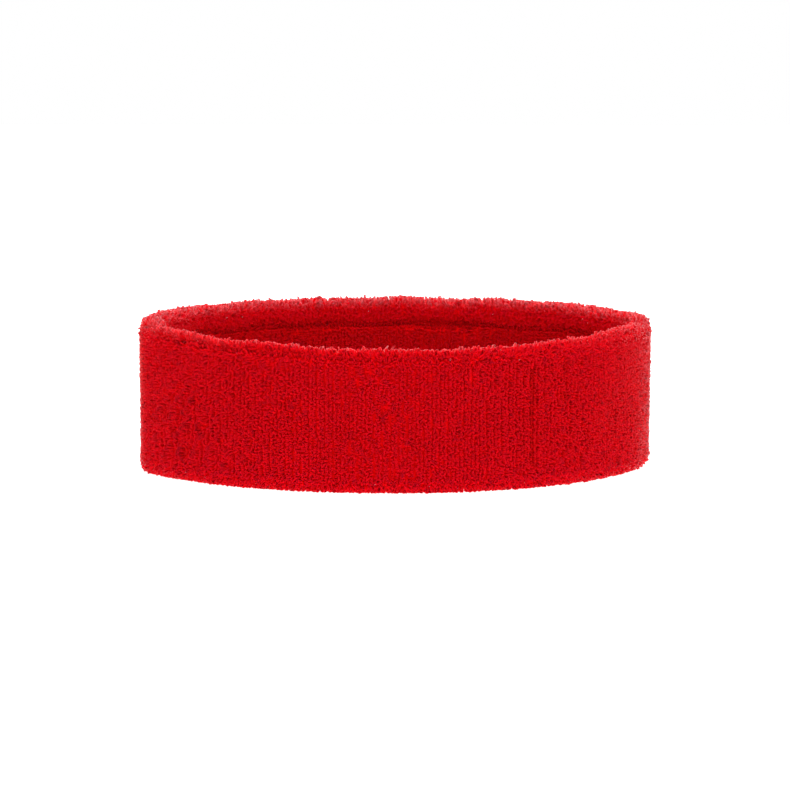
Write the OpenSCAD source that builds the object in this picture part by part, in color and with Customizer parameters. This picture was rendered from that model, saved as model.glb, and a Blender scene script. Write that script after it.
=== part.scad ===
// Sports headband: a terry-knit tube doubled over itself into two plies. It is closed by a
// linked seam on its inner face, and stands on its lower fold as an open oval.
//
// The band's section is drawn once, with X across the band (outwards positive) and Y up it,
// and every sub-part is a piece of that section carried round the oval.

/* [Band] */
// Height of the band, from fold to fold
band_h = 50; // [40:1:70]
// Height of the terry loops above the ground knit
pile_h = 1.8; // [1.5:0.1:2.4]
// Thickness of one ply of the ground knit
ground_t = 1.2; // [0.9:0.1:1.3]
// Gap between the two plies, where the elastic yarn lies
ply_gap = 2; // [1.4:0.1:2.4]
// Depth by which the lower fold is pressed flat where the band rests
rest_sink = 0.3; // [0.2:0.1:0.5]

/* [Oval] */
// Unit of the 8-15-17 triangle that places the centres of the end arcs and the side arcs
oval_unit = 4.4; // [3.8:0.1:5]
// Radius of the band's middle line round each end of the oval
end_r = 11.5; // [10:0.5:16]

/* [Closing seam] */
// Distance from the upper fold down to the closing seam
seam_drop = 9; // [8.6:0.1:9.4]
// Half the width of the parting in the pile at the ground knit
parting_root = 0.35; // [0.3:0.05:0.5]
// Half the width of the parting in the pile at the pile tips
parting_mouth = 1.6; // [1:0.1:2]
// Height of the raw edge of each ply, turned into the band
lip_h = 0.9; // [0.6:0.1:1]
// Diameter of the needle thread, and twice the thickness of the looper thread's wrap
thread_d = 0.5; // [0.4:0.05:0.6]

/* [Elastic yarn] */
// Diameter of the covered elastic yarn
elastic_d = 0.7; // [0.5:0.1:0.8]
// Height from one turn of the elastic yarn to the next on the same ply
elastic_pitch = 4; // [3.6:0.1:4.2]

/* [Hidden] */
// Half thicknesses of the doubled band, out to each layer
ground_in = ply_gap / 2;
ground_out = ground_in + ground_t;
pile_out = ground_out + pile_h;
band_t = 2 * pile_out;

// Heights of the two folds' centres and of the seam
bottom_z = pile_out - rest_sink;
top_z = band_h - pile_out;
seam_z = band_h - seam_drop;

// The elastic's turns are counted down from the seam. The outer ply's lie half a pitch off the
// inner ply's, so that the two plies' turns clear each other and the seam's raw edges.
outer_turn_z = seam_z + elastic_pitch / 2;
lowest_turn_z = bottom_z + elastic_d;
outer_turns = 1 + floor((outer_turn_z - lowest_turn_z) / elastic_pitch);
turns_below_seam = floor((seam_z - lowest_turn_z) / elastic_pitch);

// The raw edges stop short of the outer ply by the looper thread's wrap and a small gap
lip_gap = 0.05;
lip_in = ground_in - thread_d / 2 - lip_gap;

// Centres of the arcs, and the side arc's radius, which makes all four arcs meet smoothly
end_x = 15 * oval_unit;
side_y = 8 * oval_unit;
side_r = end_r + 17 * oval_unit;

// Reach of a cutting wedge beyond the arcs that it trims, and its overlap above and below
wedge_reach = 100;
wedge_lap = 1;

pile_color = [0.75, 0.02, 0.06];
ground_color = [0.5, 0.01, 0.04];
thread_color = [0.62, 0.02, 0.05];
elastic_color = [0.9, 0.87, 0.8];

function turn_name(ply, i) = str(ply, "_elastic_turn_", i < 10 ? "0" : "", i);

// Turn 00 of the inner ply lies above the seam, and its other turns below
outer_turn_names = [for (i = [1:outer_turns]) turn_name("outer", i)];
inner_turn_names = [for (i = [0:turns_below_seam]) turn_name("inner", i)];

$fn = 48;
end_fn = 96;
side_fn = 360;

// ---- The oval ----

// The wedge that trims an end arc, between the two lines through the arcs' centres
module end_wedge() {
    translate([0, 0, -wedge_lap])
        linear_extrude(band_h + 2 * wedge_lap)
            polygon([
                [end_x, 0], [2 * end_x, side_y],
                [2 * end_x + wedge_reach, 0], [2 * end_x, -side_y]
            ]);
}

// The wedge that trims the side arc centred behind the origin
module side_wedge() {
    translate([0, 0, -wedge_lap])
        linear_extrude(band_h + 2 * wedge_lap)
            polygon([
                [0, -side_y], [2 * end_x, side_y],
                [0, 3 * side_y + wedge_reach], [-2 * end_x, side_y]
            ]);
}

// Carries a piece of the section round the whole oval, as four smooth arcs
module round_oval() {
    for (half_turn = [0, 180])
        rotate([0, 0, half_turn]) {
            intersection() {
                translate([end_x, 0, 0])
                    rotate_extrude($fn = end_fn) translate([end_r, 0]) children();
                end_wedge();
            }
            intersection() {
                translate([0, -side_y, 0])
                    rotate_extrude($fn = side_fn) translate([side_r, 0]) children();
                side_wedge();
            }
        }
}

// ---- The section ----

// Outline of the doubled band at a given half thickness, round at both folds
module outline(half) {
    translate([-half, bottom_z]) square([2 * half, top_z - bottom_z]);
    translate([0, bottom_z]) circle(r = half);
    translate([0, top_z]) circle(r = half);
}

// One layer of the doubled band, between two half thicknesses
module layer(outer_half, inner_half) {
    difference() {
        outline(outer_half);
        outline(inner_half);
    }
}

// The part of a layer on the outer ply. It ends at the resting plane.
module on_outer_ply() {
    intersection() {
        children();
        square([band_t, band_h]);
    }
}

// The part of a layer on the inner ply, between two heights
module on_inner_ply(from_z, to_z) {
    intersection() {
        children();
        translate([-band_t, from_z]) square([band_t, to_z - from_z]);
    }
}

// The parting of the pile along the seam, open towards the inside of the band
module parting() {
    translate([0, seam_z])
        polygon([
            [-ground_out, -parting_root], [-ground_out, parting_root],
            [-pile_out, parting_mouth], [-pile_out - 1, parting_mouth],
            [-pile_out - 1, -parting_mouth], [-pile_out, -parting_mouth]
        ]);
}

// A raw edge of the inner ply, turned into the band. side is 1 above the seam, -1 below it.
module raw_edge(side) {
    translate([-ground_in, seam_z + (side < 0 ? -lip_h : 0)])
        square([ground_in + lip_in, lip_h]);
}

// ---- The sub-parts ----

module outer_terry_pile() {
    color(pile_color) round_oval() on_outer_ply() layer(pile_out, ground_out);
}

module inner_terry_pile(from_z, to_z) {
    color(pile_color)
        round_oval()
            difference() {
                on_inner_ply(from_z, to_z) layer(pile_out, ground_out);
                parting();
            }
}

module outer_ground_knit() {
    color(ground_color) round_oval() on_outer_ply() layer(ground_out, ground_in);
}

module inner_ground_knit(from_z, to_z, side) {
    color(ground_color)
        round_oval() {
            on_inner_ply(from_z, to_z) layer(ground_out, ground_in);
            raw_edge(side);
        }
}

// The straight thread of the seam, lying in the parting against the ground knit
module seam_needle_thread() {
    color(thread_color)
        round_oval() translate([-ground_out - thread_d / 2, seam_z]) circle(d = thread_d);
}

// The thread that wraps the two raw edges inside the band
module seam_looper_thread() {
    wrap_t = thread_d / 2;
    color(thread_color)
        round_oval()
            difference() {
                translate([-ground_in, seam_z - lip_h - wrap_t])
                    square([ground_in + lip_in + wrap_t, 2 * (lip_h + wrap_t)]);
                translate([-ground_in - 1, seam_z - lip_h])
                    square([1 + ground_in + lip_in, 2 * lip_h]);
            }
}

// One turn of elastic yarn against the ground knit. side is 1 on the outer ply, -1 on the inner.
module elastic_turn(side, turn_z) {
    color(elastic_color)
        round_oval() translate([side * (ground_in - elastic_d / 2), turn_z]) circle(d = elastic_d);
}

outer_terry_pile();
inner_terry_pile(0, seam_z);  // inner_terry_pile_lower
inner_terry_pile(seam_z, band_h);  // inner_terry_pile_upper
outer_ground_knit();
inner_ground_knit(0, seam_z, -1);  // inner_ground_knit_lower
inner_ground_knit(seam_z, band_h, 1);  // inner_ground_knit_upper
seam_needle_thread();
seam_looper_thread();
for (i = [1:outer_turns])
    elastic_turn(1, outer_turn_z - (i - 1) * elastic_pitch);
elastic_turn(-1, seam_z + elastic_pitch);
for (i = [1:turns_below_seam])
    elastic_turn(-1, seam_z - i * elastic_pitch);
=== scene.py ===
"""A knitted terry sports headband, standing on its lower fold as an open oval.

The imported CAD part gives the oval, the section and the place of every yarn. This script lays the
soft band over them: a knit sleeve, the terry loops planted on it one by one, the elastic yarn
inside and the seam. Lengths are in metres. Along the band u runs to the right from the front's
centre, and round the section v runs from the sleeve's upper raw edge. A point of the section is
given by how far it is across from the band's middle line, outwards, and how far up.
"""
import math

import bpy
import numpy as np
from mathutils import Matrix, Vector


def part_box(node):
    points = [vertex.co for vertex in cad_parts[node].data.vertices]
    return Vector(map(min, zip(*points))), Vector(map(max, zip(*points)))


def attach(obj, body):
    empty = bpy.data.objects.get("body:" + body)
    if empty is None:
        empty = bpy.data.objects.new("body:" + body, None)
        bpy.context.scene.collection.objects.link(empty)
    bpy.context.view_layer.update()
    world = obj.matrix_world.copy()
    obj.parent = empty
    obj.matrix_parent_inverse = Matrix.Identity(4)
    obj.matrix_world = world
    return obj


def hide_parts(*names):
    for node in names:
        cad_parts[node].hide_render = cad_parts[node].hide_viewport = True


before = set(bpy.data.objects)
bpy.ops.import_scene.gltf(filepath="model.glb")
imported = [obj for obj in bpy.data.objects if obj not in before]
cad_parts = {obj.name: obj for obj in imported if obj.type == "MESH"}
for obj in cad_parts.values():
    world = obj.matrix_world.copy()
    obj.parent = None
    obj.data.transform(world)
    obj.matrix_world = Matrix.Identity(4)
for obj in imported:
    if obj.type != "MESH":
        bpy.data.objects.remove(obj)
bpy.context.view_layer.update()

MM = 0.001
rng = np.random.default_rng(20)

# ---------------------------------------------------------------- the band's sizes, from the frame

OUTER_PILE = "outer_terry_pile"
LOWER_PILE = "inner_terry_pile_lower"
UPPER_PILE = "inner_terry_pile_upper"
GROUND_NODES = ["outer_ground_knit", "inner_ground_knit_lower", "inner_ground_knit_upper"]
NEEDLE_THREAD = "seam_needle_thread"
LOOPER_THREAD = "seam_looper_thread"
OUTER_ELASTIC = "outer_elastic_turn_01"

ELASTIC_GAP = 0.1 * MM                    # between the ground knit and the elastic yarn inside it
PRESSED = 0.3 * MM                        # how far the lower fold is pressed flat by the floor

band_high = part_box(OUTER_PILE)[1]
ground_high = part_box(GROUND_NODES[0])[1]
needle_low, needle_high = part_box(NEEDLE_THREAD)
middle_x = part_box(LOWER_PILE)[1].x        # the inner pile ends at the band's middle line

BAND_H = band_high.z
PILE_OUT = band_high.x - middle_x         # half the band's thickness, to the pile tips
PILE_H = band_high.x - ground_high.x
GROUND_OUT = PILE_OUT - PILE_H            # half the thickness, to the ground knit's face
GROUND_T = middle_x + GROUND_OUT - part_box(OUTER_ELASTIC)[1].x - ELASTIC_GAP
SEAM_Z = needle_low.z / 2 + needle_high.z / 2
TOP_Z = BAND_H - PILE_OUT                 # centres of the two folds
BOTTOM_Z = PILE_OUT - PRESSED

# The oval's arcs meet smoothly because their centres lie on an 8-15-17 triangle
TRIANGLE = (band_high.x - band_high.y) / 6
END_X = 15 * TRIANGLE
SIDE_Y = 8 * TRIANGLE
END_R = middle_x - END_X
SIDE_R = END_R + 17 * TRIANGLE
END_HALF_ANGLE = math.atan2(8, 15)
SIDE_HALF_ANGLE = math.pi / 2 - END_HALF_ANGLE

END_ARC = 2 * END_HALF_ANGLE * END_R
SIDE_ARC = 2 * SIDE_HALF_ANGLE * SIDE_R
ROUND = 2 * (END_ARC + SIDE_ARC)          # length of the middle line


def oval(u):
    """Points and outward normals of the middle line."""
    u = np.mod(np.asarray(u, float) + SIDE_ARC / 2, ROUND)
    half = (u >= ROUND / 2).astype(float)
    u = u - half * ROUND / 2
    on_side = u < SIDE_ARC
    side_angle = -math.pi / 2 + (u - SIDE_ARC / 2) / SIDE_R
    end_angle = (u - SIDE_ARC - END_ARC / 2) / END_R
    angle = np.where(on_side, side_angle, end_angle)
    radius = np.where(on_side, SIDE_R, END_R)
    x = np.where(on_side, 0, END_X) + radius * np.cos(angle)
    y = np.where(on_side, SIDE_Y, 0) + radius * np.sin(angle)
    turn = 1 - 2 * half
    return x * turn, y * turn, np.cos(angle) * turn, np.sin(angle) * turn


def facing(u):
    """-1 at the middle of the front, 0 at the two ends and 1 at the middle of the back."""
    return oval(u)[3]


# ------------------------------------------------------------------------------- the knit's section

# The sleeve's section runs from the seam up the inner ply, over the upper fold, down the outer
# ply, under the lower fold and up the inner ply to the seam again. Each edge turns into the band.
LIP_R = 0.8 * MM
LIP_L = 2.0 * MM
SEAM_GAP = 0.06 * MM
FOLD = math.pi * GROUND_OUT
UPPER_WALL = TOP_Z - SEAM_Z - LIP_R - SEAM_GAP
OUTER_WALL = TOP_Z - BOTTOM_Z
LOWER_WALL = SEAM_Z - LIP_R - SEAM_GAP - BOTTOM_Z
LIP_ARC = math.pi / 2 * LIP_R
PARTS = [LIP_L, LIP_ARC, UPPER_WALL, FOLD, OUTER_WALL, FOLD, LOWER_WALL, LIP_ARC, LIP_L]
STARTS = np.concatenate([[0], np.cumsum(PARTS)])
AROUND_SECTION = STARTS[-1]


def section(v):
    """How far across and how far up the sleeve is at v."""
    v = np.asarray(v, float)
    part = np.clip(np.searchsorted(STARTS, v, side="right") - 1, 0, len(PARTS) - 1)
    along = v - STARTS[part]
    zero = np.zeros_like(v)
    face = GROUND_OUT
    upper_lip = SEAM_Z + SEAM_GAP
    lower_lip = SEAM_Z - SEAM_GAP
    fold_angle = along / face
    lip_angle = along / LIP_R
    cases = [
        (-face + LIP_R + LIP_L - along, upper_lip + zero),
        (-face + LIP_R - LIP_R * np.sin(lip_angle), upper_lip + LIP_R * (1 - np.cos(lip_angle))),
        (-face + zero, upper_lip + LIP_R + along),
        (-face * np.cos(fold_angle), TOP_Z + face * np.sin(fold_angle)),
        (face + zero, TOP_Z - along),
        (face * np.cos(fold_angle), BOTTOM_Z - face * np.sin(fold_angle)),
        (-face + zero, BOTTOM_Z + along),
        (-face + LIP_R * (1 - np.cos(lip_angle)), lower_lip - LIP_R + LIP_R * np.sin(lip_angle)),
        (-face + LIP_R + along, lower_lip + zero),
    ]
    return [np.choose(part, [case[k] for case in cases]) for k in range(2)]


# ------------------------------------------------------------------------- patterns over the sleeve

# Each pattern of waves or streaks has its own seed, so that it stays the same wherever it is asked
SEEDS = {
    "sway": 3, "rim": 5, "groove": 7, "seam": 8, "seam depth": 9, "ribs": 14, "rib height": 15,
    "rib lean": 16, "pairs": 17, "ruffles": 18, "ruffle strength": 19, "tint": 21, "short wales": 22,
}


def waves(u, v, size, pattern, count=14):
    """Smooth patches about size metres across, from -1 to 1, the same at both ends of the band."""
    draw = np.random.default_rng(SEEDS[pattern])
    total = 0
    for _ in range(count):
        turns = max(1, round(ROUND / size * draw.uniform(0.4, 1.2)))
        rise = draw.uniform(-1.1, 1.1) / size
        phase = draw.uniform(0, 2 * math.pi)
        total = total + np.cos(2 * math.pi * (turns * u / ROUND + rise * v) + phase)
    return total / math.sqrt(count)


def bump(x, centre, width):
    return np.exp(-((x - centre) / width) ** 2)


def smooth(x, start, end):
    t = np.clip((x - start) / (end - start), 0, 1)
    return t * t * (3 - 2 * t)


def window(x, start, end, fade):
    """1 from start to end, and smoothly 0 a fade further out on either side."""
    return smooth(x, start - fade, start) * (1 - smooth(x, end, end + fade))


def signed_u(u):
    """u from minus to plus half the band's length."""
    return np.mod(u + ROUND / 2, ROUND) - ROUND / 2


# --------------------------------------------------------------------------- how the soft band lies

FRONT_DIP = 6.7 * MM                      # how far the upper fold sags at the front's middle
FRONT_FALL = 1.15                         # how fast the sag fades towards the ends
BACK_RISE = 0.3 * MM                      # how far the fold rises at the back's middle
BACK_FALL = 1.5
LEFT_DIP = 0.4 * MM                       # a shallow sag on the left of the front
LEFT_DIP_SPAN = (-77 * MM, -62 * MM, 10 * MM)
END_DIPS = [                              # the sags at the two ends: depth, place along u, width
    (1.1 * MM, 104 * MM, 16 * MM),
    (0.7 * MM, -100 * MM, 7 * MM),
]
RIGHT_LIFT = 0.7 * MM                     # how far the lower fold clears the floor at the right end
RIGHT_LIFT_U = 99 * MM
RIGHT_LIFT_WIDTH = 8 * MM
RIM_WAVE = 0.25 * MM                      # how far the upper fold runs up and down
RIM_WAVE_SIZE = 30 * MM
WALL_SWAY = 0.45 * MM                     # how far the walls swell in and out
SWAY_SIZE = 38 * MM
END_HOLD = 0.8                            # the share of the swelling that the bent ends hold back
ROLL_DEPTH = 0.8 * MM                     # how far the upper fold rolls over inwards
ROLL_WIDTH = 3 * MM
ROLL_Z = TOP_Z - 1 * MM

# The floor steadies the wall's foot, so each effect grows or fades between two heights
FOOT = 20 * MM
SWAY_GROWS = (3 * MM, FOOT)
LIFT_FADES = (2 * MM, FOOT)
RIM_WAVE_GROWS = (FOOT, 45 * MM)
PLIES_PART = 1 * MM                       # from the middle line to here, one ply fades into the other

GROOVE_Z = TOP_Z + 0.8 * MM
GROOVE_DEPTH = 1.1 * MM
GROOVE_WIDTH = 0.65 * MM
GROOVE_WANDER = 0.25 * MM
GROOVE_WANDER_SIZE = 17 * MM
GROOVE_STARTS = (-92 * MM, -78 * MM)      # along u
GROOVE_WEAKENS = (-50 * MM, -20 * MM)
GROOVE_WEAKENING = 0.6
GROOVE_ENDS = (0, 18 * MM)

SEAM_DEPTH = 2.0 * MM
SEAM_CREASE_UP = 0.8 * MM                 # the crease lies this far above the seam itself
SEAM_WANDER = 0.35 * MM
SEAM_WANDER_SIZE = 24 * MM
SEAM_WIDTH_BELOW = 1.7 * MM
SEAM_WIDTH_ABOVE = 3.2 * MM
SEAM_VARIES = 0.25                        # how much shallower the crease gets in places
SEAM_VARIES_SIZE = 45 * MM


def groove_at(u, across, up):
    """The line just below the upper fold where the pile parts, on the left half of the front."""
    outer = smooth(across, 0, PLIES_PART)
    from_front = signed_u(u)
    strength = smooth(from_front, *GROOVE_STARTS) * (1 - smooth(from_front, *GROOVE_ENDS))
    strength = strength * (1 - GROOVE_WEAKENING * smooth(from_front, *GROOVE_WEAKENS))
    wander = GROOVE_WANDER * waves(u, 0 * up, GROOVE_WANDER_SIZE, "groove")
    return outer * strength * bump(up, GROOVE_Z + wander, GROOVE_WIDTH)


def seam_at(u, across, up):
    """The crease over the closing seam, inside the band."""
    inner = 1 - smooth(across, -PLIES_PART, 0)
    below = SEAM_Z + SEAM_CREASE_UP + SEAM_WANDER * waves(u, 0 * up, SEAM_WANDER_SIZE, "seam") - up
    width = np.where(below > 0, SEAM_WIDTH_BELOW, SEAM_WIDTH_ABOVE)
    depth = 1 - SEAM_VARIES * (1 - waves(u, 0 * up, SEAM_VARIES_SIZE, "seam depth"))
    return inner * bump(below, 0, width) * depth


def sag(u, front_to_back):
    """How far the upper fold hangs below a straight one."""
    from_front = signed_u(u)
    depth = FRONT_DIP * np.clip(-front_to_back, 0, 1) ** FRONT_FALL
    depth = depth - BACK_RISE * np.clip(front_to_back, 0, 1) ** BACK_FALL
    depth = depth + LEFT_DIP * window(from_front, *LEFT_DIP_SPAN)
    for end_depth, place, width in END_DIPS:
        depth = depth + end_depth * bump(from_front, place, width)
    return depth


def slide(u, across):
    """The place along the oval of a stitch u, as each ply spreads its own length evenly round it."""
    reach = across * PILE_OUT / GROUND_OUT
    from_end = np.mod(u, ROUND / 2) - ROUND / 4
    tight = 1 + reach / END_R
    gentle = 1 + reach / SIDE_R
    length = np.abs(from_end) * (1 + reach * 2 * math.pi / ROUND)
    end_length = tight * END_ARC / 2
    place = np.where(length < end_length, length / tight, END_ARC / 2 + (length - end_length) / gentle)
    return u + np.sign(from_end) * (place - np.abs(from_end))


def lie(u, across, up):
    """Where a point of the straight section lies on the standing band."""
    x, y, nx, ny = oval(slide(u, across))
    inner = 1 - smooth(across, -PLIES_PART, 0)
    sway = WALL_SWAY * waves(u, up, SWAY_SIZE, "sway") * smooth(up, *SWAY_GROWS)
    sway = sway * (1 - END_HOLD * nx ** 2)
    groove = GROOVE_DEPTH * groove_at(u, across, up)
    seam = SEAM_DEPTH * seam_at(u, across, up)
    roll = ROLL_DEPTH * inner * bump(up, ROLL_Z, ROLL_WIDTH)
    across = across - groove + seam - roll + sway
    lift = RIGHT_LIFT * bump(signed_u(u), RIGHT_LIFT_U, RIGHT_LIFT_WIDTH)
    up = up * (1 - sag(u, ny) / BAND_H) + lift * (1 - smooth(up, *LIFT_FADES))
    up = up + RIM_WAVE * waves(u, 0 * up, RIM_WAVE_SIZE, "rim") * smooth(up, *RIM_WAVE_GROWS)
    return np.stack([x + nx * across, y + ny * across, up], -1)


def unit(a):
    return a / np.maximum(np.linalg.norm(a, axis=-1, keepdims=True), 1e-12)


def planted(u, v):
    """Points on the sleeve with their directions along the course, along the wale and outwards."""
    step = 0.05 * MM

    def at(du, dv):
        across, up = section(np.clip(v + dv, 0, AROUND_SECTION))
        return lie(u + du, across, up)

    course = unit(at(step, 0) - at(-step, 0))
    wale = unit(at(0, step) - at(0, -step))
    out = unit(np.cross(wale, course))
    return at(0, 0), course, wale, out


# ------------------------------------------------------------------------------------- mesh helpers

def new_mesh(name, points, faces, smooth_shading=True):
    """A mesh object from an array of points and an array of faces with equal corner counts."""
    mesh = bpy.data.meshes.new(name)
    corners = faces.shape[1]
    mesh.vertices.add(len(points))
    mesh.vertices.foreach_set("co", np.ascontiguousarray(points, np.float32).ravel())
    mesh.loops.add(faces.size)
    mesh.loops.foreach_set("vertex_index", np.ascontiguousarray(faces, np.int32).ravel())
    mesh.polygons.add(len(faces))
    mesh.polygons.foreach_set("loop_start", np.arange(0, faces.size, corners, dtype=np.int32))
    mesh.polygons.foreach_set("use_smooth", np.full(len(faces), smooth_shading))
    mesh.update(calc_edges=True)
    mesh.validate()
    obj = bpy.data.objects.new(name, mesh)
    bpy.context.scene.collection.objects.link(obj)
    return obj


def add_uv(obj, uv):
    """uv has one pair for each corner of each face."""
    layer = obj.data.uv_layers.new(name="OFBake")
    layer.data.foreach_set("uv", np.ascontiguousarray(uv, np.float32).ravel())


def add_values(obj, name, values):
    """values has one number for each point of the mesh."""
    layer = obj.data.attributes.new(name, "FLOAT", "POINT")
    layer.data.foreach_set("value", np.ascontiguousarray(values, np.float32).ravel())


def grid_faces(rows, columns, closed_rows=False):
    """Quads over a grid of rows by columns of points, closed across the columns."""
    first_rows = np.arange(rows if closed_rows else rows - 1)
    r, c = np.meshgrid(first_rows, np.arange(columns), indexing="ij")
    s = (r + 1) % rows
    d = (c + 1) % columns
    return np.stack([s * columns + c, s * columns + d, r * columns + d, r * columns + c], -1).reshape(-1, 4)


def grid_corners(rows, columns):
    """The corners of the same quads on a map from 0 to 1."""
    r, c = np.meshgrid(np.arange(rows - 1), np.arange(columns), indexing="ij")
    left, right = c / columns, (c + 1) / columns
    low, high = r / (rows - 1), (r + 1) / (rows - 1)
    corners = [(left, high), (right, high), (right, low), (left, low)]
    return np.stack([np.stack(corner, -1) for corner in corners], 2).reshape(-1, 4, 2)


# ---------------------------------------------------------------------------------------- materials

YARN_FOOT_PAINTED_SHADE = (0.94, 0.0004, 0.0020, 1)     # colours of a loop's foot and of its tip; the foot's darker red is painted shade
YARN_TIP = (0.97, 0.0006, 0.0045, 1)
YARN_PAINTED_SHEEN = (1.0, 0.060, 0.070, 1)        # the pale pink of painted sheen
KNIT_DARK = (0.92, 0.0004, 0.0015, 1)
KNIT_LIGHT = (0.99, 0.0010, 0.0040, 1)
GRAIN = 0.36 * MM                         # size of the tufts of fibre along a yarn
SOFT_DEPTH = 2.2 * MM                     # how deep light travels in the pile
ELASTIC_COLOR = (0.75, 0.71, 0.62)
THREAD_COLOR = (0.42, 0.001, 0.006)


def node_material(name):
    mat = bpy.data.materials.new(name)
    mat.use_nodes = True
    return mat, mat.node_tree.nodes, mat.node_tree.links, mat.node_tree.nodes["Principled BSDF"]


def set_cloth(shader, roughness, sheen, sheen_roughness, sheen_tint, soft=0.0):
    """soft is how much light passes through the yarn."""
    shader.inputs["Subsurface Weight"].default_value = soft
    shader.inputs["Subsurface Radius"].default_value = (1.0, 0.1, 0.1)
    shader.inputs["Subsurface Scale"].default_value = SOFT_DEPTH
    shader.inputs["Roughness"].default_value = roughness
    shader.inputs["Specular IOR Level"].default_value = 0.04
    shader.inputs["Sheen Weight"].default_value = sheen
    shader.inputs["Sheen Roughness"].default_value = sheen_roughness
    shader.inputs["Sheen Tint"].default_value = (*sheen_tint, 1)


def attribute(nodes, name):
    node = nodes.new("ShaderNodeAttribute")
    node.attribute_name = name
    return node.outputs["Fac"]


def color_ramp(nodes, first, last, start=0.0, end=1.0):
    ramp = nodes.new("ShaderNodeValToRGB")
    ramp.color_ramp.elements[0].color = first
    ramp.color_ramp.elements[1].color = last
    ramp.color_ramp.elements[0].position = start
    ramp.color_ramp.elements[1].position = end
    return ramp


def grain_shade(nodes, links):
    """A factor a little above 1 on the tufts of fibre and below 1 between them."""
    place = nodes.new("ShaderNodeTexCoord")
    grains = nodes.new("ShaderNodeTexVoronoi")
    grains.inputs["Scale"].default_value = 1 / GRAIN
    links.new(place.outputs["Object"], grains.inputs["Vector"])
    spread = nodes.new("ShaderNodeMapRange")
    spread.inputs["From Min"].default_value = 0.1
    spread.inputs["From Max"].default_value = 0.8
    spread.inputs["To Min"].default_value = 1.20
    spread.inputs["To Max"].default_value = 0.76
    links.new(grains.outputs["Distance"], spread.inputs["Value"])
    return spread.outputs["Result"]


def terry_yarn():
    """Reads each loop's tip, tint and pale values: the foot's darker red is painted shade, tint holds
    painted light and shade, and pale mixes in painted sheen.
    """
    mat, nodes, links, shader = node_material("terry_yarn")
    set_cloth(shader, roughness=0.85, sheen=0.47, sheen_roughness=0.24,
              sheen_tint=(1.0, 0.8, 0.8), soft=0.9)
    # painted shade: the yarn darkens from the tip down to the loop's foot
    ramp = color_ramp(nodes, YARN_FOOT_PAINTED_SHADE, YARN_TIP, start=0.35, end=0.95)
    links.new(attribute(nodes, "tip"), ramp.inputs["Fac"])
    shade = nodes.new("ShaderNodeMath")
    shade.operation = "MULTIPLY"
    links.new(attribute(nodes, "tint"), shade.inputs[0])
    links.new(grain_shade(nodes, links), shade.inputs[1])
    # painted sheen: a pale pink mixed into the yarn's colour where the pale value is high
    painted_sheen_mix = nodes.new("ShaderNodeMix")
    painted_sheen_mix.data_type = "RGBA"
    painted_sheen_mix.inputs["B"].default_value = YARN_PAINTED_SHEEN
    links.new(attribute(nodes, "pale"), painted_sheen_mix.inputs["Factor"])
    links.new(ramp.outputs["Color"], painted_sheen_mix.inputs["A"])
    vary = nodes.new("ShaderNodeHueSaturation")
    links.new(painted_sheen_mix.outputs["Result"], vary.inputs["Color"])
    links.new(shade.outputs["Value"], vary.inputs["Value"])
    links.new(vary.outputs["Color"], shader.inputs["Base Color"])
    return mat


def knit_cloth():
    """Fine lines, one for each wale of the knit."""
    mat, nodes, links, shader = node_material("ground_knit")
    set_cloth(shader, roughness=0.9, sheen=0.15, sheen_roughness=0.5, sheen_tint=(1.0, 0.5, 0.5))
    uv = nodes.new("ShaderNodeUVMap")
    uv.uv_map = "OFBake"
    scale = nodes.new("ShaderNodeVectorMath")
    scale.operation = "MULTIPLY"
    scale.inputs[1].default_value = (WALES, COURSES, 1)
    links.new(uv.outputs["UV"], scale.inputs[0])
    wave = nodes.new("ShaderNodeTexWave")
    wave.inputs["Scale"].default_value = 0.314
    wave.inputs["Distortion"].default_value = 1.5
    links.new(scale.outputs["Vector"], wave.inputs["Vector"])
    ramp = color_ramp(nodes, KNIT_DARK, KNIT_LIGHT)
    links.new(wave.outputs["Fac"], ramp.inputs["Fac"])
    links.new(ramp.outputs["Color"], shader.inputs["Base Color"])
    return mat


def plain_material(name, color, roughness):
    mat, nodes, links, shader = node_material(name)
    set_cloth(shader, roughness=roughness, sheen=0.1, sheen_roughness=0.5, sheen_tint=(1, 1, 1))
    noise = nodes.new("ShaderNodeTexNoise")
    noise.inputs["Scale"].default_value = 900
    ramp = color_ramp(nodes, (*(0.8 * c for c in color), 1), (*color, 1))
    links.new(noise.outputs["Fac"], ramp.inputs["Fac"])
    links.new(ramp.outputs["Color"], shader.inputs["Base Color"])
    return mat


# -------------------------------------------------------------------------------- the ground sleeve

WALES = 168
ENDS = 2 * WALES                          # each needle's loop shows two ends of yarn
COURSES = 150
AROUND_COLUMNS = 360                      # columns of points round the whole band
SLEEVE_ROWS = 120


def ground_sleeve():
    v = np.linspace(0, AROUND_SECTION, SLEEVE_ROWS)[:, None] + np.zeros((1, AROUND_COLUMNS))
    u = np.linspace(0, ROUND, AROUND_COLUMNS, endpoint=False)[None, :] + np.zeros((SLEEVE_ROWS, 1))
    points = planted(u.ravel(), v.ravel())[0]
    sleeve = new_mesh("ground_knit_sleeve", points, grid_faces(SLEEVE_ROWS, AROUND_COLUMNS))
    add_uv(sleeve, grid_corners(SLEEVE_ROWS, AROUND_COLUMNS))
    solid = sleeve.modifiers.new("thickness", "SOLIDIFY")
    solid.thickness = GROUND_T
    solid.offset = -1
    sleeve.data.materials.append(knit_cloth())
    return sleeve


# ----------------------------------------------------------------------------- the field of loops

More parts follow.
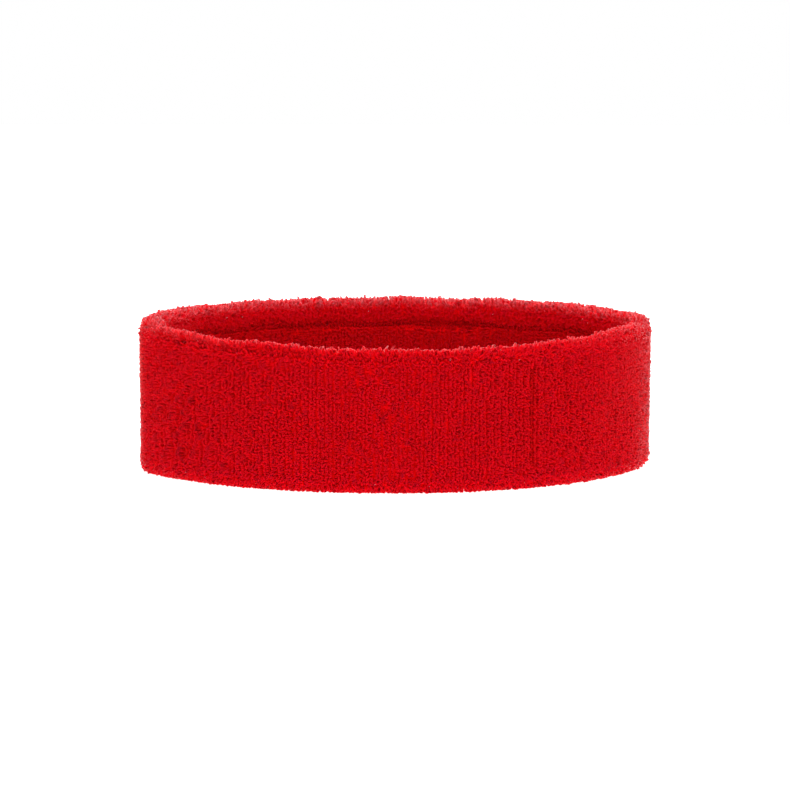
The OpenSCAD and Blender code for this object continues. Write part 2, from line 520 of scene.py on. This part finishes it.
LOOP_POINTS = 8
LOOP_SIDES = 3
YARN_R = 0.28 * MM
YARN_R_SPREAD = 0.06
FOOT_HALF = 0.18 * MM                     # half a loop's width at its foot, and what its belly adds
BELLY_HALF = 0.34 * MM
LOOP_WIDTH_SPREAD = 0.12
FOLD_NARROWING = 0.4                      # how much slimmer the loops are on the folds
TWIST = 0.14 * MM                         # how far the two legs stand out of line
ARCH = 0.75                               # how square a loop's top is: 1 is round
ROOT_DEPTH = 0.25 * MM                    # how far the two feet reach into the ground knit
RUFFLE = 0.05                             # how strongly the ruffled pile leans, radians
RUFFLE_SIZE = 5.5 * MM
MOST_LEAN_COURSE = 0.7
MOST_LEAN_WALE = 0.8
LOW_SPOT = (0.9, 2.2)                     # from where to where a hollow of the ruffled pile counts as low
RIBS_SPAN = (-78 * MM, 24 * MM, 14 * MM)  # where along u the pile is combed into ribs
RIBS_SIZE = 22 * MM
LEFT_RUFFLED_SPAN = (-90 * MM, -64 * MM, 10 * MM)
FOLD_EDGE = 2 * MM                        # over this height a wall turns into a fold
LOOSE_EDGE = 3 * MM
WALL_FUZZ = 0.85                          # how much the fibres between the yarns even out the light
FOLD_FUZZ = 0.55
CREST_FUZZ = 0.12                         # what the crest of the front has more
END_OFFSET = 0.55 * MM                    # from a needle's place to each of its two ends of yarn
PAIRED_OFFSET = 0.12 * MM                 # how far the two ends draw together where the ribs part
STITCH_JITTER = 0.09 * MM

# Lines of short loops, where a yarn began or ended: along u and from where to where up, in
# millimetres, and how short they are
SHORT_WALES = [
    (33.8, 8, 42, 0.85),
    (45.2, 30, 42, 0.6),
    (-25.6, 4, 14, 0.6),
    (-18.4, 5, 11, 0.5),
    (-9.6, 4, 12, 0.5),
]
SHORT_WALE_WIDTH = 0.9 * MM
SHORT_WALE_WANDER = 0.4 * MM

# Heights of the loops, as shares of the pile's height
PLAIN_HEIGHT = 0.96
RIB_HEIGHT = 0.05                         # what the ribs add and take
HEIGHT_SPREAD = 0.06
LOOSE_HEIGHT_SPREAD = 1.2                 # how much more the heights differ on the loose rim
GROOVE_LOW = 0.35                         # how much lower the loops are in the groove
SEAM_LOW = 0.3                            # and over the seam
SHORT_WALE_LOW = 0.6
HOLLOW_LOW = 0.35                         # in the hollows of the ruffled pile
UNDER_LOW = 0.1                           # and under the lower fold
PULLED_SHARE = 0.12                       # the share of loops on the folds that are pulled out
PULLED_HEIGHT = 0.25

# Lean and turn of the loops, radians
LEAN_COURSE_SPREAD = 0.12
LEAN_WALE_SPREAD = 0.09
RIB_LEAN = 0.08
HANG = 0.04                               # how far the pile hangs downwards, and what ribs add to it
RIB_HANG = 0.06
TURN_SPREAD = 0.6
RIB_TURN = -0.3
FOLD_TURN = 0.8

# Lightness of the yarn: 1 leaves its colour as it is. Beside tone that varies at random, it holds painted
# light and painted shade
PLAIN_TINT = 1.05
TINT_SPREAD = 0.05
LOOSE_TINT_SPREAD = 2.5                   # how much more it differs on the loose rim
PATCH_TINT = 0.04
PATCH_SIZE = 15 * MM
FOOT_PAINTED_LIGHT = 0.30                         # painted light: the foot of the walls and the parts below
SHOULDER_PAINTED_LIGHT = 0.05
INNER_RIM_PAINTED_LIGHT = 0.24
LEFT_END_PAINTED_LIGHT = 0.08
SHORT_WALE_PAINTED_SHADE = 0.5                     # painted shade: the lines of short loops and the parts below
GROOVE_PAINTED_SHADE = 0.3
INSIDE_PAINTED_SHADE = 0.34
CREST_PAINTED_SHADE = 0.10
CREST_BACK_PAINTED_LIGHT = 0.12                   # painted light on the crest of the back, and painted shade on the front's

# How much painted sheen a loop gets, from 0 to 1
CREST_PAINTED_SHEEN = 0.55
CREST_PAINTED_SHEEN_SPREAD = 0.38
FRONT_SHEEN_FADE = 1.2                        # how fast this fades from the ends towards the front
PALE_END_U = 99 * MM                      # the right end, where some of the loops get painted sheen
PALE_END_WIDTH = 11 * MM
PALE_END_SHARE = 0.5
PALE_END_PAINTED_SHEEN = 0.95


def streaks(u, v, pattern):
    """A value of about -1 to 1 for each column of loops, which changes slowly along the wale."""
    draw = np.random.default_rng(SEEDS[pattern])
    column = np.floor(np.mod(u, ROUND) / ROUND * ENDS).astype(int) % ENDS
    lengths = (7 * MM, 14 * MM, 30 * MM)
    total = 0
    for length in lengths:
        phase = draw.uniform(0, 2 * math.pi, ENDS)
        total = total + np.cos(2 * math.pi * v / length + phase[column])
    return total / math.sqrt(len(lengths))


def combed(u, v):
    """1 where the pile lies in upright ribs, as on most of the front, and 0 where it is ruffled."""
    ribs = window(signed_u(u), *RIBS_SPAN)
    return np.clip(0.25 + 0.75 * ribs + 0.35 * waves(u, v, RIBS_SIZE, "ribs"), 0, 1)


def fold_at(up):
    """1 on the two folds and 0 on the walls."""
    return smooth(up, TOP_Z - FOLD_EDGE, TOP_Z) + smooth(-up, -BOTTOM_Z - FOLD_EDGE, -BOTTOM_Z)


def loose_rim(across, up):
    """1 where the pile stands loose, inside the band from the closing seam up to the upper fold."""
    return smooth(up, SEAM_Z, SEAM_Z + LOOSE_EDGE) * (across < 0)


def short_wales(u, up):
    """How short the loops are in the lines where a yarn began or ended."""
    total = 0
    for place, low, high, strength in SHORT_WALES:
        wander = SHORT_WALE_WANDER * waves(0 * u, up, 12 * MM, "short wales")
        line = bump(signed_u(u), place * MM + wander, SHORT_WALE_WIDTH)
        total = total + strength * line * window(up, low * MM, high * MM, 2 * MM)
    return total


def ruffles(u, v):
    """Lean away from the pile's low spots, along the course and the wale, and how low a loop is."""
    step = 0.2 * MM

    def level(at_u, at_v):
        return waves(at_u, at_v, RUFFLE_SIZE, "ruffles", 24)

    here = level(u, v)
    slope_u = (level(u + step, v) - here) / step * RUFFLE_SIZE
    slope_v = (level(u, v + step) - here) / step * RUFFLE_SIZE
    near_left_end = window(signed_u(u), *LEFT_RUFFLED_SPAN)
    amount = 0.5 + 0.5 * near_left_end + 0.3 * waves(u, v, 30 * MM, "ruffle strength")
    return RUFFLE * amount * slope_u, RUFFLE * amount * slope_v, amount * smooth(-here, *LOW_SPOT)


def loop_field(u, v):
    """Height, lean along the course, lean along the wale and turn of each loop."""
    n = len(u)
    across, up = section(v)
    outer = across > 0
    rib = combed(u, v)
    fold = fold_at(up)
    loose = loose_rim(across, up)
    ruffle_u, ruffle_v, low = ruffles(u, v)
    height = PILE_H * (PLAIN_HEIGHT + RIB_HEIGHT * rib * streaks(u, v, "rib height"))
    height = height * (1 + rng.normal(0, HEIGHT_SPREAD, n) * (1 + LOOSE_HEIGHT_SPREAD * loose))
    height = height * (1 - GROOVE_LOW * groove_at(u, across, up) - SEAM_LOW * seam_at(u, across, up))
    height = height * (1 - SHORT_WALE_LOW * short_wales(u, up) * outer) * (1 - HOLLOW_LOW * low)
    pulled = rng.random(n) < PULLED_SHARE
    height = height * (1 + PULLED_HEIGHT * fold * pulled)
    height = height * (1 - UNDER_LOW * smooth(-up, -BOTTOM_Z, -0.3 * BOTTOM_Z))
    lean_course = ruffle_u + rng.normal(0, LEAN_COURSE_SPREAD, n) * (1 + loose)
    lean_course = lean_course + RIB_LEAN * rib * streaks(u, v, "rib lean")
    downwards = (HANG + RIB_HANG * rib) * np.where(outer, 1, -1) * (1 - fold)
    lean_wale = downwards + ruffle_v + rng.normal(0, LEAN_WALE_SPREAD, n)
    turn = rng.normal(0, 1, n) * (TURN_SPREAD + RIB_TURN * rib + FOLD_TURN * fold)
    lean_course = np.clip(lean_course, -MOST_LEAN_COURSE, MOST_LEAN_COURSE)
    lean_wale = np.clip(lean_wale, -MOST_LEAN_WALE, MOST_LEAN_WALE)
    return height, lean_course, lean_wale, turn


def fuzz_at(u, up):
    """How far the shading of the loops leans towards that of the sleeve under them."""
    crest = smooth(up, TOP_Z + 1 * MM, TOP_Z + 2 * MM) * np.clip(-facing(u), 0, 1)
    return WALL_FUZZ + (FOLD_FUZZ - WALL_FUZZ) * fold_at(up) + CREST_FUZZ * crest


def loop_tone_and_painted_light(u, v):
    """How light each loop's yarn is, where 1 leaves the yarn's colour as it is. Beside tone that varies at
    random, it holds painted light and painted shade.
    """
    n = len(u)
    across, up = section(v)
    outer = across > 0
    # painted light: lighter at the walls' foot, the shoulders, the inner rim and the left end
    light = FOOT_PAINTED_LIGHT * smooth(-up, -FOOT, -3 * MM) + SHOULDER_PAINTED_LIGHT * smooth(up, 34 * MM, 44 * MM)
    light = light + INNER_RIM_PAINTED_LIGHT * smooth(up, 42 * MM, TOP_Z) * ~outer
    light = light + LEFT_END_PAINTED_LIGHT * bump(signed_u(u), -99 * MM, 9 * MM) * outer
    # painted shade: darker in the short wales, the groove, inside the band and on the front's crest
    painted_shade = SHORT_WALE_PAINTED_SHADE * short_wales(u, up) * outer * rng.uniform(0.5, 1.3, n)
    painted_shade = painted_shade + GROOVE_PAINTED_SHADE * groove_at(u, across, up)
    painted_shade = painted_shade + INSIDE_PAINTED_SHADE * (1 - smooth(up, 40 * MM, 45 * MM)) * ~outer
    crest = smooth(up, TOP_Z + 1 * MM, TOP_Z + 3 * MM)
    painted_shade = painted_shade + (CREST_PAINTED_SHADE - CREST_BACK_PAINTED_LIGHT * facing(u)) * crest
    varied = rng.normal(0, TINT_SPREAD, n) * (1 + LOOSE_TINT_SPREAD * loose_rim(across, up))
    return PLAIN_TINT + varied + PATCH_TINT * waves(u, v, PATCH_SIZE, "tint") + light - painted_shade


def loop_painted_sheen(u, v):
    """How much painted sheen each loop gets: a pale pink on the crests of the folds and at the right end.
    """
    n = len(u)
    across, up = section(v)
    crest = smooth(up, TOP_Z, TOP_Z + 2.5 * MM) * (1 - np.clip(-FRONT_SHEEN_FADE * facing(u), 0, 1))
    crest = crest * np.clip(rng.normal(CREST_PAINTED_SHEEN, CREST_PAINTED_SHEEN_SPREAD, n), 0, 1)
    pale_end = bump(signed_u(u), PALE_END_U, PALE_END_WIDTH) * (across > 0)
    pale_end = pale_end * (rng.random(n) < PALE_END_SHARE)
    return np.maximum(crest, PALE_END_PAINTED_SHEEN * pale_end)


# ---------------------------------------------------------------------------------- the terry loops

def loop_paths(place, field, fold):
    """The line of each loop's yarn, its height along that line and the normal of the loop's plane."""
    root, course, wale, out = (vectors[:, None] for vectors in place)
    height, lean_course, lean_wale, turn = (values[:, None] for values in field)
    n = len(root)
    t = np.linspace(0, math.pi, LOOP_POINTS)[None, :]
    wide = rng.normal(1, LOOP_WIDTH_SPREAD, (n, 1)) * (1 - FOLD_NARROWING * fold[:, None])
    x = -np.cos(t) * (FOOT_HALF + BELLY_HALF * np.sin(t)) * wide
    twist = rng.normal(0, TWIST, (n, 1)) * np.sin(2 * t)
    at_foot = np.sin(t) < 0.01
    h = height * np.sin(t) ** ARCH - ROOT_DEPTH * at_foot
    bend = np.maximum(h, 0) * (np.maximum(h, 0) / PILE_H) ** 0.5
    a = x * np.cos(turn) - twist * np.sin(turn) + bend * np.tan(lean_course)
    b = x * np.sin(turn) + twist * np.cos(turn) + bend * np.tan(lean_wale)
    path = root + a[..., None] * course + b[..., None] * wale + h[..., None] * out
    path[..., 2] = np.maximum(path[..., 2], YARN_R)
    plane_normal = unit(np.cos(turn)[..., None] * wale - np.sin(turn)[..., None] * course)
    return path, h, plane_normal


def round_yarn(path, plane_normal):
    """Points round each path, and their directions away from the yarn's middle."""
    tangent = unit(np.gradient(path, axis=1))
    side = unit(np.cross(tangent, plane_normal))
    other = np.cross(side, tangent)
    angle = np.arange(LOOP_SIDES)[:, None] * 2 * math.pi / LOOP_SIDES
    away = np.cos(angle) * side[:, :, None] + np.sin(angle) * other[:, :, None]
    radius = YARN_R * rng.normal(1, YARN_R_SPREAD, (len(path), 1, 1, 1))
    return path[:, :, None] + radius * away, unit(away)


def loop_map(n):
    """The corners of all loops on the map. Every loop has its own cell, so that each can be baked."""
    cells = math.ceil(math.sqrt(n))
    margin = 0.06
    corner = np.stack([np.arange(n) % cells, np.arange(n) // cells], -1) / cells
    local = grid_corners(LOOP_POINTS, LOOP_SIDES)
    return corner[:, None, None] + (margin + (1 - 2 * margin) * local[None]) / cells


def make_loops(name, u, v, material):
    """One mesh of yarn loops, each planted at a stitch of the sleeve."""
    n = len(u)
    _, up = section(v)
    field = loop_field(u, v)
    place = planted(u, v)
    path, h, plane_normal = loop_paths(place, field, fold_at(up))
    points, away = round_yarn(path, plane_normal)

    each = LOOP_POINTS * LOOP_SIDES
    one = grid_faces(LOOP_POINTS, LOOP_SIDES)
    faces = (np.arange(n)[:, None, None] * each + one[None]).reshape(-1, 4)
    loops = new_mesh(name, points.reshape(-1, 3), faces)
    out = place[3][:, None, None]
    fuzz = fuzz_at(u, up)[:, None, None, None]
    fuzzy_normals = unit((1 - fuzz) * away + fuzz * out)
    loops.data.normals_split_custom_set_from_vertices(fuzzy_normals.reshape(-1, 3))
    add_uv(loops, loop_map(n))

    tip = h / PILE_H
    # tint: tone that varies at random, with painted light and painted shade
    tint = loop_tone_and_painted_light(u, v)
    # pale: painted sheen, strongest at the loops' tips
    pale = loop_painted_sheen(u, v)[:, None] * np.clip(tip, 0, 1)
    add_values(loops, "tip", np.repeat(np.clip(tip, 0, 1.2), LOOP_SIDES, axis=1))
    add_values(loops, "tint", np.repeat(tint, each))
    add_values(loops, "pale", np.repeat(pale, LOOP_SIDES, axis=1))
    loops.data.materials.append(material)
    return loops


def wales_across(v):
    """Stitch places of some courses: a grid of u and a grid of v, a row for each course."""
    wale_u = (np.arange(WALES) + 0.5) * ROUND / WALES
    side = np.tile([-1, 1], WALES)
    uu, vv = np.meshgrid(np.repeat(wale_u, 2), v, indexing="xy")
    _, up = section(vv)
    paired = smooth(waves(uu, vv, 13 * MM, "pairs"), 0.2, 1.3) * combed(uu, vv)
    uu = uu + side * (END_OFFSET - PAIRED_OFFSET * paired)
    jitter = STITCH_JITTER * (1 + fold_at(up))
    return uu + rng.normal(0, jitter, uu.shape), vv + rng.normal(0, jitter, vv.shape)


def stitches(v_from, v_to):
    """Stitch places over a stretch of the section, doubled on the folds, where the pile spreads."""
    courses = max(1, round((v_to - v_from) / (AROUND_SECTION / COURSES)))
    pitch = (v_to - v_from) / courses
    v = v_from + (np.arange(courses) + 0.5) * pitch
    uu, vv = wales_across(v)
    between = v[:-1] + pitch / 2
    _, up = section(between)
    extra_u, extra_v = wales_across(between[fold_at(up) > 0.6])
    return np.concatenate([uu, extra_u + ROUND / ENDS / 2]), np.concatenate([vv, extra_v])


def terry_pile(prefix, v_from, v_to, panels, material):
    """The pile over a stretch of the section, as panels side by side along the band."""
    uu, vv = stitches(v_from, v_to)
    pieces = []
    for i, columns in enumerate(np.array_split(np.arange(ENDS), panels)):
        name = f"{prefix}_{i + 1:02d}"
        pieces.append(make_loops(name, uu[:, columns].ravel(), vv[:, columns].ravel(), material))
    return pieces


yarn = terry_yarn()
sleeve = ground_sleeve()
for node in GROUND_NODES:
    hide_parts(node)
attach(sleeve, "root")

seam_start = STARTS[1] + LIP_ARC * 0.45   # the pile goes half-way round the knit's turned edges
seam_end = STARTS[7] + LIP_ARC * 0.55
top_apex = STARTS[3] + FOLD / 2
low_apex = STARTS[5] + FOLD / 2
PILE_PARTS = [
    (UPPER_PILE, "upper_inner_loops", seam_start, top_apex, 2),
    (OUTER_PILE, "outer_loops", top_apex, low_apex, 7),
    (LOWER_PILE, "lower_inner_loops", low_apex, seam_end, 5),
]
for node, prefix, v_from, v_to, panels in PILE_PARTS:
    for piece in terry_pile(prefix, v_from, v_to, panels, yarn):
        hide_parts(node)
        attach(piece, "root")

# ----------------------------------------------------------------------- elastic yarn and the seam

def ring(name, outline):
    """A closed outline of (across, up) corners carried round the whole band."""
    u = np.linspace(0, ROUND, AROUND_COLUMNS, endpoint=False)
    points = np.concatenate([lie(u, across + 0 * u, up + 0 * u) for across, up in outline])
    faces = grid_faces(len(outline), AROUND_COLUMNS, closed_rows=True)
    return new_mesh(name, points, faces[:, ::-1])


def yarn_outline(node, sides=8):
    """The round section of a yarn, in the place the CAD part gives it."""
    low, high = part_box(node)
    radius = (high.z - low.z) / 2
    angles = [2 * math.pi * k / sides for k in range(sides)]
    across, up = high.x - radius - middle_x, (low.z + high.z) / 2
    return [(across + radius * math.cos(a), up + radius * math.sin(a)) for a in angles]


def looper_outline():
    """The looper thread's wrap: a channel round the two raw edges, open towards the inner ply."""
    low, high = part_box(LOOPER_THREAD)
    wrap = (needle_high.z - needle_low.z) / 2
    mouth = -(GROUND_OUT - GROUND_T)
    back = high.x - middle_x
    return [
        (mouth, high.z - wrap), (mouth, high.z), (back, high.z), (back, low.z),
        (mouth, low.z), (mouth, low.z + wrap), (back - wrap, low.z + wrap), (back - wrap, high.z - wrap),
    ]


elastic = plain_material("elastic_yarn", ELASTIC_COLOR, 0.6)
thread = plain_material("seam_thread", THREAD_COLOR, 0.7)
for node in sorted(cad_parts):
    is_elastic = "elastic_turn" in node
    if is_elastic or node == NEEDLE_THREAD:
        piece = ring(node + "_yarn", yarn_outline(node))
    elif node == LOOPER_THREAD:
        piece = ring(node + "_yarn", looper_outline())
    else:
        continue
    piece.data.materials.append(elastic if is_elastic else thread)
    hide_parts(node)
    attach(piece, "root")

# --------------------------------------------------------------------------- floor, light and camera

FLOOR_HALF = 3.0
FLOOR_GLOW = 1.1                          # the floor shines a little, so that it stays pale all round
DOME_GLOW = 0.4


def pale_floor():
    h = FLOOR_HALF
    corners = np.array([[-h, -h, 0], [h, -h, 0], [h, h, 0], [-h, h, 0]], float)
    floor = new_mesh("floor", corners, np.array([[0, 1, 2, 3]]), False)
    mat, _, _, shader = node_material("pale_floor")
    shader.inputs["Base Color"].default_value = (0.35, 0.35, 0.35, 1)
    shader.inputs["Roughness"].default_value = 0.9
    shader.inputs["Specular IOR Level"].default_value = 0.1
    shader.inputs["Emission Color"].default_value = (1, 1, 1, 1)
    shader.inputs["Emission Strength"].default_value = FLOOR_GLOW
    floor.data.materials.append(mat)
    return floor


def studio_world():
    """White all round at the height of the horizon, and dimmer overhead."""
    world = bpy.data.worlds.new("studio")
    world.use_nodes = True
    nodes, links = world.node_tree.nodes, world.node_tree.links
    place = nodes.new("ShaderNodeTexCoord")
    split = nodes.new("ShaderNodeSeparateXYZ")
    links.new(place.outputs["Generated"], split.inputs["Vector"])
    ramp = color_ramp(nodes, (1, 1, 1, 1), (DOME_GLOW, DOME_GLOW, DOME_GLOW, 1), start=0.25, end=0.5)
    links.new(split.outputs["Z"], ramp.inputs["Fac"])
    links.new(ramp.outputs["Color"], nodes["Background"].inputs["Color"])
    nodes["Background"].inputs["Strength"].default_value = 1.0
    return world


def light(name, kind, place, power):
    """A lamp that is turned towards the middle of the band."""
    data = bpy.data.lights.new(name, kind)
    data.energy = power
    obj = bpy.data.objects.new(name, data)
    bpy.context.scene.collection.objects.link(obj)
    obj.location = place
    towards = Vector((0, 0, BAND_H / 2)) - Vector(place)
    obj.rotation_euler = towards.to_track_quat("-Z", "Y").to_euler()
    return data


def strip(name, place, power, width, height):
    data = light(name, "AREA", place, power)
    data.shape = "RECTANGLE"
    data.size = width
    data.size_y = height


pale_floor()
bpy.context.scene.world = studio_world()
bpy.context.scene.view_settings.view_transform = "Standard"

overhead = light("overhead", "SUN", (0.1, 0.2, 2.0), 2.0)
overhead.angle = math.radians(50)
strip("front_fill", (-0.05, -0.95, 0.7), 5.4, 1.0, 0.6)
strip("right_strip", (0.7, 0.5, 0.25), 0.8, 0.25, 0.5)
strip("left_strip", (-0.5, 0.7, 0.25), 0.75, 0.25, 0.5)
strip("back_strip", (0.0, 0.9, 0.5), 7.0, 0.5, 0.3)

VIEW_TURN = math.radians(8.32)            # how far the camera stands to the left of the front
VIEW_RISE = math.radians(6.94)
VIEW_ROLL = math.radians(0.36)
VIEW_DISTANCE = 1.0
FRAME_WIDTH = 0.2507                      # what the picture's width spans at the band's centre
AIM_LEFT = 0.75 * MM
AIM_DOWN = 1.35 * MM
SENSOR = 36


def view_camera():
    level = math.cos(VIEW_RISE)
    ahead = Vector((math.sin(VIEW_TURN) * level, math.cos(VIEW_TURN) * level, -math.sin(VIEW_RISE)))
    right = Vector((math.cos(VIEW_TURN), -math.sin(VIEW_TURN), 0))
    upward = right.cross(ahead)
    aim = Vector((0, 0, BAND_H / 2)) - right * AIM_LEFT - upward * AIM_DOWN
    data = bpy.data.cameras.new("camera")
    data.sensor_width = SENSOR
    data.lens = SENSOR * VIEW_DISTANCE / FRAME_WIDTH
    camera = bpy.data.objects.new("camera", data)
    bpy.context.scene.collection.objects.link(camera)
    turn = Matrix((right, upward, -ahead)).transposed() @ Matrix.Rotation(VIEW_ROLL, 3, "Z")
    camera.matrix_world = Matrix.Translation(aim - ahead * VIEW_DISTANCE) @ turn.to_4x4()
    return camera


bpy.context.scene.camera = view_camera()
